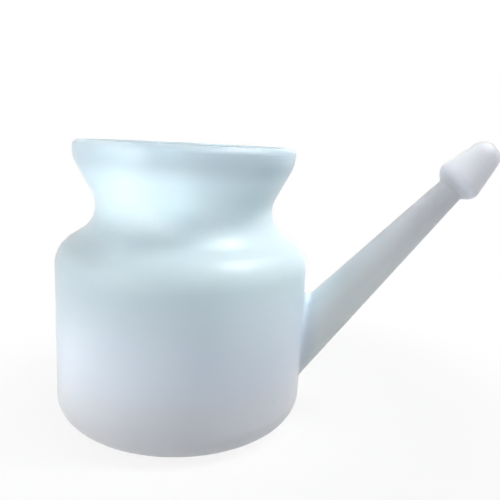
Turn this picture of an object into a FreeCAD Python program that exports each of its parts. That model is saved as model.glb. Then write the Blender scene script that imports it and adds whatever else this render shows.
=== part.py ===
import FreeCAD, Part
import math
import os
import Sketcher

# Neti pot, blown in one piece: a round pot with a waisted neck and a flared mouth,
# and a tapered spout that rises from its side and ends in a rounded nozzle.
# Millimetres and degrees. The origin is the middle of the underside, at table level.
# Z runs up the middle of the pot, and the spout leans towards +X.

document = FreeCAD.newDocument("NetiPot")
sheet = document.addObject("Spreadsheet::Sheet", "Sizes")

sizes = {
    # Pot. The rises are measured between the places where the straight runs of its
    # outline would meet: side and shoulder, shoulder and flare, flare and upright rim.
    # The rim's own height is its straight run, between the flare's curve and the lip.
    "body_diameter": 90.0,
    "neck_diameter": 63.1,
    "rim_diameter": 77.6,
    "side_height": 61.7,
    "shoulder_rise": 10.8,
    "flare_rise": 20.5,
    "rim_height": 1.0,
    "base_corner_radius": 9.0,
    "shoulder_radius": 10.5,
    "neck_curve_radius": 10.6,
    "rim_curve_radius": 10.0,
    "wall": 1.6,
    # The rim turns in to a lip, which runs on level to the edge of the mouth.
    "lip_radius": 2.2,
    "lip_reach": 1.2,
    "lip_rounding": 0.7,
    # Underside: a flat standing ring round a shallow dome
    "standing_ring_width": 8.0,
    "underside_depth": 2.5,
    # Spout, measured along its axis from where the axis meets the side of the pot
    "spout_angle": 49.1,
    "spout_height": 29.4,
    "spout_length": 76.0,
    "spout_root_diameter": 18.8,
    "spout_end_diameter": 9.6,
    "root_rounding": 1.9,
    # Nozzle
    "nozzle_diameter": 16.0,
    "nozzle_length": 21.1,
    "nozzle_base_slope": 48.0,
    "nozzle_base_radius": 4.2,
    "nozzle_taper": 11.6,
    "nozzle_tip_radius": 5.4,
    "nozzle_root_rounding": 0.8,
    "outlet_diameter": 4.4,
    "outlet_rounding": 0.4,
}

for row, (alias, number) in enumerate(sizes.items(), start=1):
    sheet.set("A" + str(row), alias)
    sheet.set("B" + str(row), str(number))
    sheet.setAlias("B" + str(row), alias)
document.recompute()


def size(alias):
    return float(sheet.get(alias))


def origin_plane(body, role):
    return next(item for item in body.Origin.OriginFeatures if item.Role == role)


def add_sketch(body, name):
    sketch = body.newObject("Sketcher::SketchObject", name)
    sketch.AttachmentSupport = [(origin_plane(body, "XZ_Plane"), "")]
    sketch.MapMode = "FlatFace"
    return sketch


def add_line(sketch, start, end):
    first, last = FreeCAD.Vector(*start, 0), FreeCAD.Vector(*end, 0)
    return sketch.addGeometry(Part.LineSegment(first, last), False)


def add_arc(sketch, center, radius, start_angle, end_angle):
    circle = Part.Circle(FreeCAD.Vector(*center, 0), FreeCAD.Vector(0, 0, 1), radius)
    arc = Part.ArcOfCircle(circle, start_angle, end_angle)
    return sketch.addGeometry(arc, False)


def relate(sketch, kind, *places):
    return sketch.addConstraint(Sketcher.Constraint(kind, *places))


def measure(sketch, name, kind, places, number, rule):
    index = sketch.addConstraint(Sketcher.Constraint(kind, *places, number))
    sketch.renameConstraint(index, name)
    sketch.setExpression("Constraints." + name, rule)


def turned_body(body, kind, name, sketch):
    feature = body.newObject(kind, name)
    feature.Profile = sketch
    feature.ReferenceAxis = (sketch, ["V_Axis"])
    feature.Angle = 360.0
    document.recompute()
    return feature


def round_edges(body, name, edges, rule):
    feature = body.newObject("PartDesign::Fillet", name)
    feature.Base = (body.Tip if body.Tip != feature else feature.BaseFeature, edges)
    feature.Radius = 0.1
    feature.setExpression("Radius", rule)
    document.recompute()
    return feature


# Centre of the arc that rounds the corner between two straight runs.
def rounding_center(before, corner, after, radius):
    first = FreeCAD.Vector(before[0] - corner[0], before[1] - corner[1], 0).normalize()
    second = FreeCAD.Vector(after[0] - corner[0], after[1] - corner[1], 0).normalize()
    half = first.getAngle(second) / 2
    middle = (first + second).normalize() * (radius / math.sin(half))
    return corner[0] + middle.x, corner[1] + middle.y


# Corners, arc centres and run directions of the pot's outline.
# The neck's corner is moved until the arc that rounds it is as narrow as the neck.
def pot_form():
    side_x, neck_x, rim_x = (size(name + "_diameter") / 2 for name in ("body", "neck", "rim"))
    neck_y = size("side_height") + size("shoulder_rise")
    shoulder_corner = (side_x, size("side_height"))
    rim_corner = (rim_x, neck_y + size("flare_rise"))
    neck_radius = size("neck_curve_radius")
    corner_x = neck_x
    for turn in range(80):
        neck_corner = (corner_x, neck_y)
        neck = rounding_center(shoulder_corner, neck_corner, rim_corner, neck_radius)
        corner_x += neck_x + neck_radius - neck[0]
    base = (side_x - size("base_corner_radius"), size("base_corner_radius"))
    hollow = base[0] - size("standing_ring_width")
    dome_radius = (hollow ** 2 + size("underside_depth") ** 2) / (2 * size("underside_depth"))
    rim = rounding_center(neck_corner, rim_corner, (rim_x, 2 * rim_corner[1]),
                          size("rim_curve_radius"))
    top = rim[1] + size("rim_height") + size("lip_radius")
    return {
        "side_x": side_x, "rim_x": rim_x, "top": top, "hollow": hollow, "base": base,
        "lip": (rim_x - size("lip_radius"), top - size("lip_radius")),
        "mouth_x": rim_x - size("lip_radius") - size("lip_reach"),
        "corners": (shoulder_corner, neck_corner, rim_corner), "neck": neck,
        "dome": (0, size("underside_depth") - dome_radius), "dome_radius": dome_radius,
        "shoulder": rounding_center((side_x, 0), shoulder_corner, neck_corner,
                                    size("shoulder_radius")),
        "rim": rim,
        "slope": math.atan2(side_x - neck_corner[0], size("shoulder_rise")),
        "flare": math.atan2(rim_x - neck_corner[0], -size("flare_rise")),
    }


# Half of the pot's outline, from the underside up to the mouth, closed along its axis.
# The inset is 0 for the outside and one wall for the inside, so the arcs share their centres.
def draw_pot_outline(sketch, form, inset, rise):
    def on_arc(name, radius, angle):
        return form[name][0] + radius * math.cos(angle), form[name][1] + radius * math.sin(angle)

    slope, flare = form["slope"], form["flare"]
    shoulder_radius = size("shoulder_radius") - inset
    neck_radius = size("neck_curve_radius") + inset
    rim_radius = size("rim_curve_radius") - inset
    dome_radius = form["dome_radius"] + inset
    lip_radius = size("lip_radius") - inset
    side_x, rim_x, top = form["side_x"] - inset, form["rim_x"] - inset, form["top"] + rise
    dome_edge = math.asin((inset - form["dome"][1]) / dome_radius)

    part = {}
    part["dome"] = add_arc(sketch, form["dome"], dome_radius, dome_edge, math.pi / 2)
    part["floor"] = add_line(sketch, on_arc("dome", dome_radius, dome_edge), (form["base"][0], inset))
    part["base"] = add_arc(sketch, form["base"], size("base_corner_radius") - inset, -math.pi / 2, 0)
    part["side"] = add_line(sketch, (side_x, form["base"][1]), (side_x, form["shoulder"][1]))
    part["shoulder"] = add_arc(sketch, form["shoulder"], shoulder_radius, 0, slope)
    part["slope"] = add_line(sketch, on_arc("shoulder", shoulder_radius, slope),
                             on_arc("neck", neck_radius, slope + math.pi))
    part["neck"] = add_arc(sketch, form["neck"], neck_radius, flare, slope + math.pi)
    part["flare"] = add_line(sketch, on_arc("neck", neck_radius, flare),
                             on_arc("rim", rim_radius, flare - math.pi))
    part["rim"] = add_arc(sketch, form["rim"], rim_radius, flare - math.pi, 0)
    part["land"] = add_line(sketch, (rim_x, form["rim"][1]), (rim_x, form["lip"][1]))
    part["lip"] = add_arc(sketch, form["lip"], lip_radius, 0, math.pi / 2)
    lid_start = on_arc("lip", lip_radius, math.pi / 2)
    if inset:
        mouth_start, lid_start = (form["mouth_x"], lid_start[1]), (form["mouth_x"], top)
        part["under_lip"] = add_line(sketch, on_arc("lip", lip_radius, math.pi / 2), mouth_start)
        part["mouth"] = add_line(sketch, mouth_start, lid_start)
    part["lid"] = add_line(sketch, lid_start, (0, top))
    part["middle"] = add_line(sketch, (0, top), on_arc("dome", dome_radius, math.pi / 2))

    relate(sketch, "Coincident", part["middle"], 2, part["dome"], 2)
    relate(sketch, "Coincident", part["dome"], 1, part["floor"], 1)
    relate(sketch, "Tangent", part["floor"], 2, part["base"], 1)
    relate(sketch, "Tangent", part["base"], 2, part["side"], 1)
    relate(sketch, "Tangent", part["side"], 2, part["shoulder"], 1)
    relate(sketch, "Tangent", part["shoulder"], 2, part["slope"], 1)
    relate(sketch, "Tangent", part["slope"], 2, part["neck"], 2)
    relate(sketch, "Tangent", part["neck"], 1, part["flare"], 1)
    relate(sketch, "Tangent", part["flare"], 2, part["rim"], 1)
    relate(sketch, "Tangent", part["rim"], 2, part["land"], 1)
    relate(sketch, "Tangent", part["land"], 2, part["lip"], 1)
    if inset:
        relate(sketch, "Tangent", part["lip"], 2, part["under_lip"], 1)
        relate(sketch, "Coincident", part["under_lip"], 2, part["mouth"], 1)
        relate(sketch, "Coincident", part["mouth"], 2, part["lid"], 1)
        relate(sketch, "Horizontal", part["under_lip"])
        relate(sketch, "Vertical", part["mouth"])
    else:
        relate(sketch, "Tangent", part["lip"], 2, part["lid"], 1)
    relate(sketch, "Coincident", part["lid"], 2, part["middle"], 1)
    relate(sketch, "Horizontal", part["floor"])
    relate(sketch, "Vertical", part["side"])
    relate(sketch, "Vertical", part["land"])
    relate(sketch, "Horizontal", part["lid"])
    relate(sketch, "Vertical", part["middle"])
    relate(sketch, "PointOnObject", part["middle"], 1, -2)
    return part


# The outside is set by the corners of its outline and the radii that round them.
def measure_outside(sketch, part, form):
    def corner(first, second, place):
        point = sketch.addGeometry(Part.Point(FreeCAD.Vector(*place, 0)), True)
        relate(sketch, "PointOnObject", point, 1, first)
        relate(sketch, "PointOnObject", point, 1, second)
        return point

    shoulder_corner = corner(part["side"], part["slope"], form["corners"][0])
    neck_corner = corner(part["slope"], part["flare"], form["corners"][1])
    rim_corner = corner(part["flare"], part["land"], form["corners"][2])
    relate(sketch, "PointOnObject", part["dome"], 3, -2)
    relate(sketch, "PointOnObject", part["floor"], 1, -1)

    def across(name, element, place, number, rule):
        measure(sketch, name, "DistanceX", (-1, 1, part[element], place), number, rule)

    def up(name, lower, upper, alias):
        measure(sketch, name, "DistanceY", (*lower, *upper), size(alias), "Sizes." + alias)

    def radius(name, element, alias):
        measure(sketch, name, "Radius", (part[element],), size(alias), "Sizes." + alias)

    across("side_radius", "side", 1, form["side_x"], "Sizes.body_diameter / 2")
    across("neck_center", "neck", 3, form["neck"][0],
           "Sizes.neck_diameter / 2 + Sizes.neck_curve_radius")
    across("rim_radius", "land", 2, form["rim_x"], "Sizes.rim_diameter / 2")
    measure(sketch, "ring_width", "DistanceX", (part["floor"], 1, part["floor"], 2),
            size("standing_ring_width"), "Sizes.standing_ring_width")
    up("dome_rise", (-1, 1), (part["dome"], 2), "underside_depth")
    up("side_rise", (-1, 1), (shoulder_corner, 1), "side_height")
    up("shoulder_rise", (shoulder_corner, 1), (neck_corner, 1), "shoulder_rise")
    up("flare_rise", (neck_corner, 1), (rim_corner, 1), "flare_rise")
    up("rim_height", (part["land"], 1), (part["land"], 2), "rim_height")
    radius("base_curve", "base", "base_corner_radius")
    radius("shoulder_curve", "shoulder", "shoulder_radius")
    radius("neck_curve", "neck", "neck_curve_radius")
    radius("rim_curve", "rim", "rim_curve_radius")
    radius("lip_curve", "lip", "lip_radius")


# Name that an arc of a sketch has among the edges of the sketch's shape.
def edge_of_arc(sketch, arc):
    center = sketch.Placement.multVec(sketch.Geometry[arc].Center)
    for number, edge in enumerate(sketch.Shape.Edges, start=1):
        if isinstance(edge.Curve, Part.Circle) and (edge.Curve.Center - center).Length < 1e-4:
            return "Edge" + str(number)
    raise RuntimeError("an arc of the outline is missing")


# The inside takes its arc centres from the outside and lies one wall within it.
def measure_inside(sketch, part, outside, outside_part, form):
    wall = size("wall")
    for number, name in enumerate(("dome", "base", "shoulder", "neck", "rim", "lip")):
        sketch.addExternal(outside.Name, edge_of_arc(outside, outside_part[name]))
        relate(sketch, "Coincident", part[name], 3, -3 - number, 3)
    measure(sketch, "dome_level", "DistanceY", (-1, 1, part["dome"], 2),
            size("underside_depth") + wall, "Sizes.underside_depth + Sizes.wall")
    measure(sketch, "base_curve", "Radius", (part["base"],), size("base_corner_radius") - wall,
            "Sizes.base_corner_radius - Sizes.wall")
    measure(sketch, "neck_curve", "Radius", (part["neck"],), size("neck_curve_radius") + wall,
            "Sizes.neck_curve_radius + Sizes.wall")
    measure(sketch, "rim_curve", "Radius", (part["rim"],), size("rim_curve_radius") - wall,
            "Sizes.rim_curve_radius - Sizes.wall")
    measure(sketch, "mouth_radius", "DistanceX", (-1, 1, part["mouth"], 1), form["mouth_x"],
            "Sizes.rim_diameter / 2 - Sizes.lip_radius - Sizes.lip_reach")
    measure(sketch, "mouth_depth", "DistanceY", (part["mouth"], 1, part["mouth"], 2), 2 * wall,
            "2 * Sizes.wall")


# Half of the outline of the spout and its nozzle, on the spout's own axis.
# It starts inside the pot, far enough in for its whole end to lie within the wall.
def draw_spout_outline(sketch, inset, inset_rule, rise, rise_rule):
    angle = math.radians(size("spout_angle"))
    sketch.AttachmentOffset = FreeCAD.Placement(
        FreeCAD.Vector(size("body_diameter") / 2, size("spout_height"), 0),
        FreeCAD.Rotation(FreeCAD.Vector(0, 0, -1), 90 - size("spout_angle")))
    sketch.setExpression("AttachmentOffset.Base.x", "Sizes.body_diameter / 2")
    sketch.setExpression("AttachmentOffset.Base.y", "Sizes.spout_height")
    sketch.setExpression("AttachmentOffset.Rotation.Angle", "90 - Sizes.spout_angle")

    slope, taper = math.radians(size("nozzle_base_slope")), math.radians(size("nozzle_taper"))
    start = -(size("spout_root_diameter") / 2 + 2 * size("wall")) * math.tan(angle) - 2 * size("wall")
    length = size("spout_length")
    root, end = size("spout_root_diameter") / 2, size("spout_end_diameter") / 2
    narrowing = (root - end) / length
    bulb_radius, tip_radius = size("nozzle_base_radius") - inset, size("nozzle_tip_radius") - inset
    outlet = size("outlet_diameter") / 2

    bulb_x = size("nozzle_diameter") / 2 - size("nozzle_base_radius")
    bulb_y = length + size("nozzle_base_radius") / math.sin(slope) + (bulb_x - end) / math.tan(slope)
    tip_y = length + size("nozzle_length") - size("nozzle_tip_radius")
    gap = size("nozzle_base_radius") - size("nozzle_tip_radius")
    tip_x = bulb_x + gap / math.cos(taper) - (tip_y - bulb_y) * math.tan(taper)
    tip_angle = math.acos((outlet - tip_x) / tip_radius)
    tip_top = tip_y + tip_radius * math.sin(tip_angle)
    end_y = length + inset * math.tan(slope / 2)

    slope_end = (bulb_x + bulb_radius * math.cos(slope), bulb_y - bulb_radius * math.sin(slope))
    cone_start = (bulb_x + bulb_radius * math.cos(taper), bulb_y + bulb_radius * math.sin(taper))
    cone_end = (tip_x + tip_radius * math.cos(taper), tip_y + tip_radius * math.sin(taper))
    first = (root - narrowing * start - inset, start)
    last = (end - inset, end_y)

    disc = add_line(sketch, (0, start), first)
    tube = add_line(sketch, first, last)
    bulb_line = add_line(sketch, last, slope_end)
    bulb_arc = add_arc(sketch, (bulb_x, bulb_y), bulb_radius, -slope, taper)
    cone = add_line(sketch, cone_start, cone_end)
    tip_arc = add_arc(sketch, (tip_x, tip_y), tip_radius, taper, tip_angle)
    mouth = add_line(sketch, (outlet, tip_top), (outlet, tip_top + rise)) if rise else None
    cap = add_line(sketch, (outlet, tip_top + rise), (0, tip_top + rise))
    middle = add_line(sketch, (0, tip_top + rise), (0, start))

    relate(sketch, "Coincident", middle, 2, disc, 1)
    relate(sketch, "Coincident", disc, 2, tube, 1)
    relate(sketch, "Coincident", tube, 2, bulb_line, 1)
    relate(sketch, "Tangent", bulb_line, 2, bulb_arc, 1)
    relate(sketch, "Tangent", bulb_arc, 2, cone, 1)
    relate(sketch, "Tangent", cone, 2, tip_arc, 1)
    relate(sketch, "Coincident", cap, 2, middle, 1)
    relate(sketch, "Horizontal", disc)
    relate(sketch, "Horizontal", cap)
    relate(sketch, "Vertical", middle)
    relate(sketch, "PointOnObject", middle, 1, -2)
    if mouth is None:
        relate(sketch, "Coincident", tip_arc, 2, cap, 1)
    else:
        relate(sketch, "Coincident", tip_arc, 2, mouth, 1)
        relate(sketch, "Coincident", mouth, 2, cap, 1)
        relate(sketch, "Vertical", mouth)
        measure(sketch, "top", "DistanceY", (mouth, 1, mouth, 2), rise, "0" + rise_rule)

    less = inset_rule.replace("+", "-")
    start_rule = ("((Sizes.spout_root_diameter / 2 + 2 * Sizes.wall) * tan(Sizes.spout_angle * 1 deg)"
                  " + 2 * Sizes.wall)")
    narrowing_rule = "(Sizes.spout_root_diameter - Sizes.spout_end_diameter) / 2 / Sizes.spout_length"
    first_rule = "Sizes.spout_root_diameter / 2 + " + narrowing_rule + " * " + start_rule + less
    bulb_rule = "Sizes.nozzle_diameter / 2 - Sizes.nozzle_base_radius"
    tip_rule = "Sizes.spout_length + Sizes.nozzle_length - Sizes.nozzle_tip_radius"
    miter_rule = " * tan(Sizes.nozzle_base_slope / 2 * 1 deg)"
    end_rule = "Sizes.spout_length" + (inset_rule + miter_rule if inset else "")
    measure(sketch, "start_radius", "DistanceX", (-1, 1, disc, 2), first[0], first_rule)
    measure(sketch, "start_depth", "DistanceY", (disc, 2, -1, 1), -start, start_rule)
    measure(sketch, "end_radius", "DistanceX", (-1, 1, tube, 2), last[0],
            "Sizes.spout_end_diameter / 2" + less)
    measure(sketch, "end_level", "DistanceY", (-1, 1, tube, 2), end_y, end_rule)
    measure(sketch, "bulb_curve", "Radius", (bulb_arc,), bulb_radius,
            "Sizes.nozzle_base_radius" + less)
    measure(sketch, "bulb_center", "DistanceX", (-1, 1, bulb_arc, 3), bulb_x, bulb_rule)
    measure(sketch, "bulb_slope", "Angle", (bulb_line, 1, middle, 2), slope,
            "Sizes.nozzle_base_slope")
    measure(sketch, "taper", "Angle", (middle, 1, cone, 2), taper, "Sizes.nozzle_taper")
    measure(sketch, "tip_curve", "Radius", (tip_arc,), tip_radius, "Sizes.nozzle_tip_radius" + less)
    measure(sketch, "tip_level", "DistanceY", (-1, 1, tip_arc, 3), tip_y, tip_rule)
    measure(sketch, "outlet", "DistanceX", (-1, 1, cap, 1), outlet, "Sizes.outlet_diameter / 2")


# Names of the edges of a shape for which a test holds, without the poles of domes.
def edges_where(shape, test):
    numbered = enumerate(shape.Edges, start=1)
    return ["Edge" + str(number) for number, edge in numbered if not edge.Degenerated and test(edge)]


# Full circles of a given radius about the pot's own axis or the spout's, at a given level.
def circles_at(shape, base, axis, radius, level):
    def test(edge):
        if not isinstance(edge.Curve, Part.Circle) or abs(edge.Curve.Radius - radius) > 1e-4:
            return False
        offset = edge.Curve.Center - base
        along = offset.dot(axis)
        return abs(along - level) < 1e-4 and (offset - axis * along).Length < 1e-4
    return edges_where(shape, test)


# The edges where the spout runs into the pot: one face is upright and the other slanted.
def root_edges(shape):
    def test(edge):
        surfaces = [face.Surface for face in shape.ancestorsOfType(edge, Part.Face)]
        turned = [surface for surface in surfaces if hasattr(surface, "Axis")]
        return sorted(abs(surface.Axis.z) > 0.999 for surface in turned) == [False, True]
    return edges_where(shape, test)


pot = document.addObject("PartDesign::Body", "Pot")
pot.Label = "pot"

# The pot as a solid of revolution, still full
form = pot_form()
outline = add_sketch(pot, "PotOutline")
outside_part = draw_pot_outline(outline, form, 0, 0)
measure_outside(outline, outside_part, form)
turned_body(pot, "PartDesign::Revolution", "PotSolid", outline)
full_volume = pot.Shape.Volume

# Spout and nozzle, still full
spout_outline = add_sketch(pot, "SpoutOutline")
draw_spout_outline(spout_outline, 0, "", 0, "")
turned_body(pot, "PartDesign::Revolution", "SpoutSolid", spout_outline)

# Roundings at the root of the spout and under the nozzle
spout_angle = math.radians(size("spout_angle"))
spout_axis = FreeCAD.Vector(math.cos(spout_angle), 0, math.sin(spout_angle))
spout_base = FreeCAD.Vector(size("body_diameter") / 2, 0, size("spout_height"))
round_edges(pot, "SpoutRoot", root_edges(pot.Shape), "Sizes.root_rounding")
nozzle_root = circles_at(pot.Shape, spout_base, spout_axis, size("spout_end_diameter") / 2,
                         size("spout_length"))
round_edges(pot, "NozzleRoot", nozzle_root, "Sizes.nozzle_root_rounding")
solid_volume = pot.Shape.Volume

# The inside of the pot, open at the mouth
cavity = add_sketch(pot, "CavityOutline")
inside_part = draw_pot_outline(cavity, form, size("wall"), size("wall"))
measure_inside(cavity, inside_part, outline, outside_part, form)
turned_body(pot, "PartDesign::Groove", "Cavity", cavity)
hollow_volume = pot.Shape.Volume

# The bore of the spout, the inside of the nozzle and its outlet
bore = add_sketch(pot, "BoreOutline")
draw_spout_outline(bore, size("wall"), " + Sizes.wall", 2 * size("wall"), " + 2 * Sizes.wall")
turned_body(pot, "PartDesign::Groove", "Bore", bore)
bored_volume = pot.Shape.Volume

# Roundings of the mouth's edge and the outlet
upright = FreeCAD.Vector(0, 0, 1)
table = FreeCAD.Vector(0, 0, 0)
mouth = circles_at(pot.Shape, table, upright, form["mouth_x"], form["top"])
mouth += circles_at(pot.Shape, table, upright, form["mouth_x"], form["top"] - size("wall"))
round_edges(pot, "MouthEdge", mouth, "min(Sizes.lip_rounding; 0.45 * Sizes.wall)")


def at_outlet(edge):
    if not isinstance(edge.Curve, Part.Circle):
        return False
    same_radius = abs(edge.Curve.Radius - size("outlet_diameter") / 2) < 1e-4
    beyond = (edge.Curve.Center - spout_base).dot(spout_axis) - size("spout_length")
    return same_radius and beyond > size("nozzle_length") - size("wall")


outlet = edges_where(pot.Shape, at_outlet)
round_edges(pot, "Outlet", outlet, "Sizes.outlet_rounding")
document.recompute()

problems = [item.Name for item in document.Objects
            if "Invalid" in item.State or "Error" in item.State]
if problems:
    raise RuntimeError("features that failed: " + ", ".join(problems))
if pot.Shape.isNull() or not pot.Shape.isValid() or len(pot.Shape.Solids) != 1:
    raise RuntimeError("the pot is not one valid solid")
if not (full_volume < solid_volume and bored_volume < hollow_volume < 0.5 * solid_volume):
    raise RuntimeError("the spout, the cavity or the bore is missing")

os.makedirs("parts", exist_ok=True)
pot.Shape.exportStep(os.path.join("parts", pot.Label + ".step"))
print("volume", round(pot.Shape.Volume), "box", pot.Shape.BoundBox)
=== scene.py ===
import math

import bpy
from mathutils import Matrix, Vector

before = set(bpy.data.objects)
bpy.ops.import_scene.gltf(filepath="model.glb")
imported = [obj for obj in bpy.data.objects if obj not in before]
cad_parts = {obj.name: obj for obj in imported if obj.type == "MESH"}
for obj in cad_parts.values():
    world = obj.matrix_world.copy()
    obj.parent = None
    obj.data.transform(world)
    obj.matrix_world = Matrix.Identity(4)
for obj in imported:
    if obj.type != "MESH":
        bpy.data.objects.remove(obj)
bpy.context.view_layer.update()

# Neti pot of pale blue-white polyethylene, blown in one piece.
# Metres. Z runs up the middle of the pot, and the spout leans towards +X.

MM = 0.001

# The spout's middle line: it leaves the pot's side and runs up to the nozzle.
SPOUT_START = Vector((45.0, 0.0, 29.4)) * MM
SPOUT_LEAN = math.radians(49.1)
SPOUT_LENGTH = 76.0 * MM
SPOUT_AXIS = Vector((math.cos(SPOUT_LEAN), 0.0, math.sin(SPOUT_LEAN)))

# Colours from the mouth to the table and then up the spout: the plastic's own pale blue with painted
# light and shade in it. The rim band is darker as painted shade, the neck brighter and more cyan as
# painted light, the base greyer as a painted reflection of the floor, the spout's foot brighter as
# painted light, its tube darker and greyer as painted shade, and its nozzle brighter as painted
# light.
RIM_PAINTED_SHADE = (0.55, 0.675, 0.755, 1)
NECK_BLUE_AND_PAINTED_LIGHT = (0.65, 0.82, 0.935, 1)
BELLY_BLUE = (0.66, 0.755, 0.90, 1)
BASE_PAINTED_FLOOR_REFLECTION = (0.735, 0.74, 0.775, 1)
SPOUT_FOOT_PAINTED_LIGHT = (0.80, 0.93, 0.97, 1)
TUBE_PAINTED_SHADE = (0.62, 0.64, 0.69, 1)
NOZZLE_PAINTED_LIGHT = (0.77, 0.81, 0.99, 1)
CLOUD_BLUE = (0.58, 0.70, 0.76, 1)

WHITE = (1, 1, 1, 1)
DARKER_PAPER = (0.84, 0.84, 0.84, 1)
PALER_PAPER = (0.86, 0.86, 0.86, 1)

# Heights between which a colour takes over from those before it: the belly's own blue, the rim
# band's painted shade and the base's painted reflection of the floor.
POT_COLOURS_AND_PAINTED_LIGHT = (
    (62 * MM, 32 * MM, BELLY_BLUE),
    (86 * MM, 93 * MM, RIM_PAINTED_SHADE),
    (36 * MM, 4 * MM, BASE_PAINTED_FLOOR_REFLECTION),
)

# Places that the lamps are aimed at.
POT_MIDDLE = Vector((10.0, 0.0, 55.0)) * MM
SHOULDER = Vector((30.0, 0.0, 65.0)) * MM
LEFT_OF_NECK = Vector((-22.0, -15.0, 84.0)) * MM
FRONT_OF_NECK = Vector((0.0, -30.0, 86.0)) * MM
BACK_OF_MOUTH = Vector((0.0, 34.0, 95.0)) * MM
LOW_LEFT = Vector((-33.0, -28.0, 22.0)) * MM
NOZZLE = Vector((103.0, 0.0, 98.0)) * MM

# Soft panels that light the whole pot: name, degrees round from the front towards the
# spout, degrees above level, width in metres, and watts.
PANEL_DISTANCE = 0.8
PANEL_BEAM = 180
PANELS = (
    ("high_right_panel", 75, 65, 0.5, 0.84),
    ("high_back_panel", 180, 60, 0.4, 0.30),
    ("front_panel", 345, 20, 0.25, 0.30),
    ("left_back_panel", 255, 50, 0.25, 0.38),
    ("small_left_panel", 290, 24, 0.06, 0.36),
)

# Small lamps with a narrow beam: the same, then the beam in degrees and the aim.
SMALL_LAMP_DISTANCE = 0.5
SMALL_LAMPS = (
    ("high_shoulder_light", 90, 60, 0.12, 0.0390, 20, SHOULDER),
    ("shoulder_light", 75, 50, 0.12, 0.0085, 20, SHOULDER),
    ("left_neck_light", 300, 15, 0.05, 0.0026, 8, LEFT_OF_NECK),
    ("front_neck_light", 315, 0, 0.04, 0.0033, 5, FRONT_OF_NECK),
    ("low_left_light", 315, 4, 0.05, 0.0038, 8, LOW_LEFT),
    ("mouth_light", 345, 35, 0.04, 0.0052, 8, BACK_OF_MOUTH),
    ("nozzle_light", 300, 20, 0.05, 0.0024, 6, NOZZLE),
)

# Cards that lie on the table and light the pot from below: name, degrees round from the
# front, distance from the pot's middle and width in metres, and watts.
CARD_HEIGHT = 4 * MM
CARDS = (
    ("near_card", 345, 0.13, 0.10, 0.042),
    ("left_card", 300, 0.13, 0.10, 0.035),
    ("right_card", 60, 0.20, 0.15, 0.078),
)

# The white room that the pot stands in gives a quarter of full light.
ROOM_LIGHT = 0.25

# The floor lies just under the pot, so that the two don't share a plane.
FLOOR_HALF_WIDTH = 1.2
FLOOR_HEIGHT = -0.3 * MM

# The camera, as fitted to the photograph's outline of the pot.
SENSOR_WIDTH = 36.0
LENS = 39.53
NEAREST_SEEN = 5 * MM
CAMERA_PLACE = (24.45 * MM, -197.90 * MM, 101.00 * MM)
CAMERA_TURN = math.radians(0.0557)
CAMERA_TILT = math.radians(78.66)
CAMERA_ROLL = math.radians(2.81)

# A Mix node's colour sockets share their names with its others, so they go by number.
MIX_FACTOR = 0
MIX_FIRST = 6
MIX_SECOND = 7
MIX_COLOUR = 2


class Value:
    """A socket of a node tree. Arithmetic on it adds Math nodes."""

    def __init__(self, tree, socket=None):
        self.tree = tree
        self.socket = socket

    def node(self, kind, settings, sockets, output=0):
        """Adds a node: its settings first, then the values or links of its sockets."""
        added = self.tree.nodes.new(kind)
        for name, setting in settings.items():
            setattr(added, name, setting)
        for name, given in sockets.items():
            if isinstance(given, Value):
                self.tree.links.new(given.socket, added.inputs[name])
            else:
                added.inputs[name].default_value = given
        if output is None:
            return None
        return Value(self.tree, added.outputs[output])

    def math(self, operation, *terms):
        return self.node("ShaderNodeMath", {"operation": operation}, dict(enumerate(terms)))

    def __add__(self, other):
        return self.math("ADD", self, other)

    def __sub__(self, other):
        return self.math("SUBTRACT", self, other)

    def __mul__(self, other):
        return self.math("MULTIPLY", self, other)

    def __rsub__(self, other):
        return self.math("SUBTRACT", other, self)

    __radd__ = __add__
    __rmul__ = __mul__

    def __abs__(self):
        return self.math("ABSOLUTE", self)

    def at_most(self, limit):
        return self.math("MINIMUM", self, limit)

    def step(self, start, end):
        """0 at start, 1 at end, and smooth between them."""
        sockets = {"Value": self, "From Min": start, "From Max": end}
        return self.node("ShaderNodeMapRange", {"interpolation_type": "SMOOTHSTEP"}, sockets)

    def blend(self, first, second):
        """The first colour where this is 0 and the second where it is 1."""
        sockets = {MIX_FACTOR: self, MIX_FIRST: first, MIX_SECOND: second}
        return self.node("ShaderNodeMix", {"data_type": "RGBA"}, sockets, MIX_COLOUR)

    def component(self, axis):
        return self.node("ShaderNodeSeparateXYZ", {}, {0: self}, axis)

    def along(self, direction):
        """How far a place lies along a direction."""
        sockets = {0: self, 1: direction}
        return self.node("ShaderNodeVectorMath", {"operation": "DOT_PRODUCT"}, sockets, "Value")

    def distance_from(self, point):
        sockets = {0: self, 1: point}
        return self.node("ShaderNodeVectorMath", {"operation": "DISTANCE"}, sockets, "Value")

    def noise(self, size, detail, roughness, seed=0.0):
        """Noise from 0 to 1 whose lumps are about size across."""
        sockets = {"Vector": self, "W": seed, "Scale": 1.0 / size, "Detail": detail,
                   "Roughness": roughness}
        return self.node("ShaderNodeTexNoise", {"noise_dimensions": "4D"}, sockets)


def empty_tree(owner):
    """The node tree of a material or world, with nothing in it."""
    owner.use_nodes = True
    owner.node_tree.nodes.clear()
    return Value(owner.node_tree)


def place_on_object(tree):
    return tree.node("ShaderNodeTexCoord", {}, {}, "Object")


# Plastic

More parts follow.
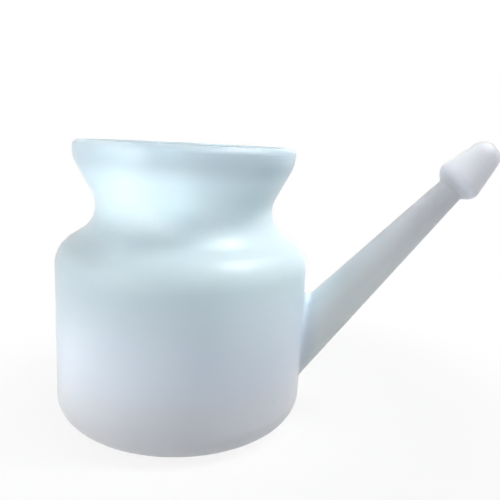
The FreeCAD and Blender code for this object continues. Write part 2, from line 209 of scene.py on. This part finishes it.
def blown_polyethylene():
    """Pale blue-white, waxy, half glossy, and a little uneven as blown plastic is, with painted
    light and shade in its colour.
    """
    material = bpy.data.materials.new("blown_polyethylene")
    tree = empty_tree(material)
    place = place_on_object(tree)
    height = place.component("Z")
    side = place.component("Y")
    on_spout = place.component("X").step(45 * MM, 52 * MM)
    up_spout = place.along(SPOUT_AXIS) - SPOUT_START.dot(SPOUT_AXIS)

    # Starts from the neck's blue: the plastic's own pale blue, made brighter and more cyan as
    # painted light.
    colour = NECK_BLUE_AND_PAINTED_LIGHT
    # By height, the belly's own blue, the rim band's painted shade and the base's painted reflection
    # of the floor take over.
    for start, end, next_colour in POT_COLOURS_AND_PAINTED_LIGHT:
        colour = height.step(start, end).blend(colour, next_colour)
    # Up the spout, painted light brightens the foot and painted shade darkens and greys the tube.
    up_tube = up_spout.step(0.1 * SPOUT_LENGTH, 0.95 * SPOUT_LENGTH)
    colour = on_spout.blend(colour, up_tube.blend(SPOUT_FOOT_PAINTED_LIGHT, TUBE_PAINTED_SHADE))
    # Painted light brightens the nozzle.
    on_nozzle = up_spout.step(SPOUT_LENGTH, 1.07 * SPOUT_LENGTH)
    colour = on_nozzle.blend(colour, NOZZLE_PAINTED_LIGHT)
    clouds = place.noise(size=22 * MM, detail=3.0, roughness=0.55).step(0.25, 0.75)
    cloud_strength = 0.10
    colour = (clouds * cloud_strength).blend(colour, CLOUD_BLUE)

    smoothest = 0.31
    dulling = 0.06
    roughness = smoothest + place.noise(size=6 * MM, detail=3.0, roughness=0.6, seed=4.0) * dulling

    wave_height = 0.12 * MM
    skin_height = 0.004 * MM
    line_height = 0.035 * MM
    waviness = place.noise(size=28 * MM, detail=1.0, roughness=0.4, seed=7.0) * wave_height
    skin = place.noise(size=1.1 * MM, detail=2.0, roughness=0.5, seed=2.0) * skin_height
    parting_line = (1 - abs(side).step(0.06 * MM, 0.22 * MM)) * line_height
    relief = waviness + skin + parting_line
    bump = tree.node("ShaderNodeBump", {}, {"Strength": 1.0, "Distance": 1.0, "Height": relief})

    # Light travels a few millimetres inside the wall, red a little less far.
    shader = tree.node("ShaderNodeBsdfPrincipled", {}, {
        "Base Color": colour,
        "Roughness": roughness,
        "Normal": bump,
        "IOR": 1.51,
        "Subsurface Weight": 1.0,
        "Subsurface Radius": (0.95, 1.0, 1.0),
        "Subsurface Scale": 4 * MM,
    })
    tree.node("ShaderNodeOutputMaterial", {}, {"Surface": shader}, None)
    return material


# Surroundings

def seen_directly(tree):
    """1 for what the camera, mirrors and glass see, and 0 for the light on the pot."""
    by_camera = tree.node("ShaderNodeLightPath", {}, {}, "Is Camera Ray")
    in_mirrors = tree.node("ShaderNodeLightPath", {}, {}, "Is Glossy Ray")
    through_glass = tree.node("ShaderNodeLightPath", {}, {}, "Is Transmission Ray")
    return (by_camera + in_mirrors + through_glass).at_most(1.0)


def white_floor():
    """Pale paper that glows white where it is seen, a little less near the pot for its shadow."""
    material = bpy.data.materials.new("white_floor")
    tree = empty_tree(material)
    place = place_on_object(tree)
    glow_near_pot = 0.87
    from_pot = place.distance_from((30 * MM, 0.0, 0.0)).step(50 * MM, 150 * MM)
    glow = glow_near_pot + (1 - glow_near_pot) * from_pot
    grain = place.noise(size=4 * MM, detail=4.0, roughness=0.6).step(0.2, 0.8)
    paper = tree.node("ShaderNodeBsdfDiffuse", {}, {"Color": grain.blend(DARKER_PAPER, PALER_PAPER)})
    light = tree.node("ShaderNodeEmission", {}, {"Color": WHITE, "Strength": 1.0})
    mixed = tree.node("ShaderNodeMixShader", {}, {0: seen_directly(tree) * glow, 1: paper, 2: light})
    tree.node("ShaderNodeOutputMaterial", {}, {"Surface": mixed}, None)
    return material


def add_floor():
    half = FLOOR_HALF_WIDTH
    corners = [(-half, -half, 0), (half, -half, 0), (half, half, 0), (-half, half, 0)]
    mesh = bpy.data.meshes.new("floor")
    mesh.from_pydata(corners, [], [(0, 1, 2, 3)])
    floor = bpy.data.objects.new("floor", mesh)
    floor.location.z = FLOOR_HEIGHT
    bpy.context.scene.collection.objects.link(floor)
    floor.data.materials.append(white_floor())


def set_world(strength):
    """Even room light. The camera, mirrors and glass see it as white."""
    world = bpy.data.worlds.new("white_room")
    bpy.context.scene.world = world
    tree = empty_tree(world)
    seen = seen_directly(tree)
    background = tree.node("ShaderNodeBackground", {}, {
        "Color": WHITE,
        "Strength": strength + seen * (1.0 - strength),
    })
    tree.node("ShaderNodeOutputWorld", {}, {"Surface": background}, None)


def new_square_lamp(name, width, watts):
    data = bpy.data.lights.new(name, "AREA")
    data.shape = "SQUARE"
    data.size = width
    data.energy = watts
    lamp = bpy.data.objects.new(name, data)
    bpy.context.scene.collection.objects.link(lamp)
    return lamp


def add_panel(name, around, above, width, watts, beam, aim, distance):
    """A square lamp that faces its aim from a distance."""
    around = math.radians(around)
    above = math.radians(above)
    away = Vector((math.sin(around) * math.cos(above), -math.cos(around) * math.cos(above),
                   math.sin(above)))
    panel = new_square_lamp(name, width, watts)
    panel.data.spread = math.radians(beam)
    panel.location = aim + away * distance
    panel.rotation_euler = (-away).to_track_quat("-Z", "Y").to_euler()


def add_card(name, around, reach, width, watts):
    """A square lamp that lies on the table, faces up and isn't seen by the camera."""
    around = math.radians(around)
    card = new_square_lamp(name, width, watts)
    card.location = (reach * math.sin(around), -reach * math.cos(around), CARD_HEIGHT)
    card.rotation_euler = (math.pi, 0.0, around)
    card.visible_camera = False


def add_camera():
    data = bpy.data.cameras.new("camera")
    data.sensor_width = SENSOR_WIDTH
    data.lens = LENS
    data.clip_start = NEAREST_SEEN
    camera = bpy.data.objects.new("camera", data)
    turn = Matrix.Rotation(CAMERA_TURN, 4, "Z")
    tilt = Matrix.Rotation(CAMERA_TILT, 4, "X")
    roll = Matrix.Rotation(CAMERA_ROLL, 4, "Z")
    camera.matrix_world = Matrix.Translation(CAMERA_PLACE) @ turn @ tilt @ roll
    bpy.context.scene.collection.objects.link(camera)
    bpy.context.scene.camera = camera


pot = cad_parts["pot"]
pot.data.materials.clear()
pot.data.materials.append(blown_polyethylene())

add_camera()
add_floor()
set_world(ROOM_LIGHT)
for name, around, above, width, watts in PANELS:
    add_panel(name, around, above, width, watts, PANEL_BEAM, POT_MIDDLE, PANEL_DISTANCE)
for name, around, above, width, watts, beam, aim in SMALL_LAMPS:
    add_panel(name, around, above, width, watts, beam, aim, SMALL_LAMP_DISTANCE)
for name, around, reach, width, watts in CARDS:
    add_card(name, around, reach, width, watts)

bpy.context.scene.view_settings.view_transform = "Standard"
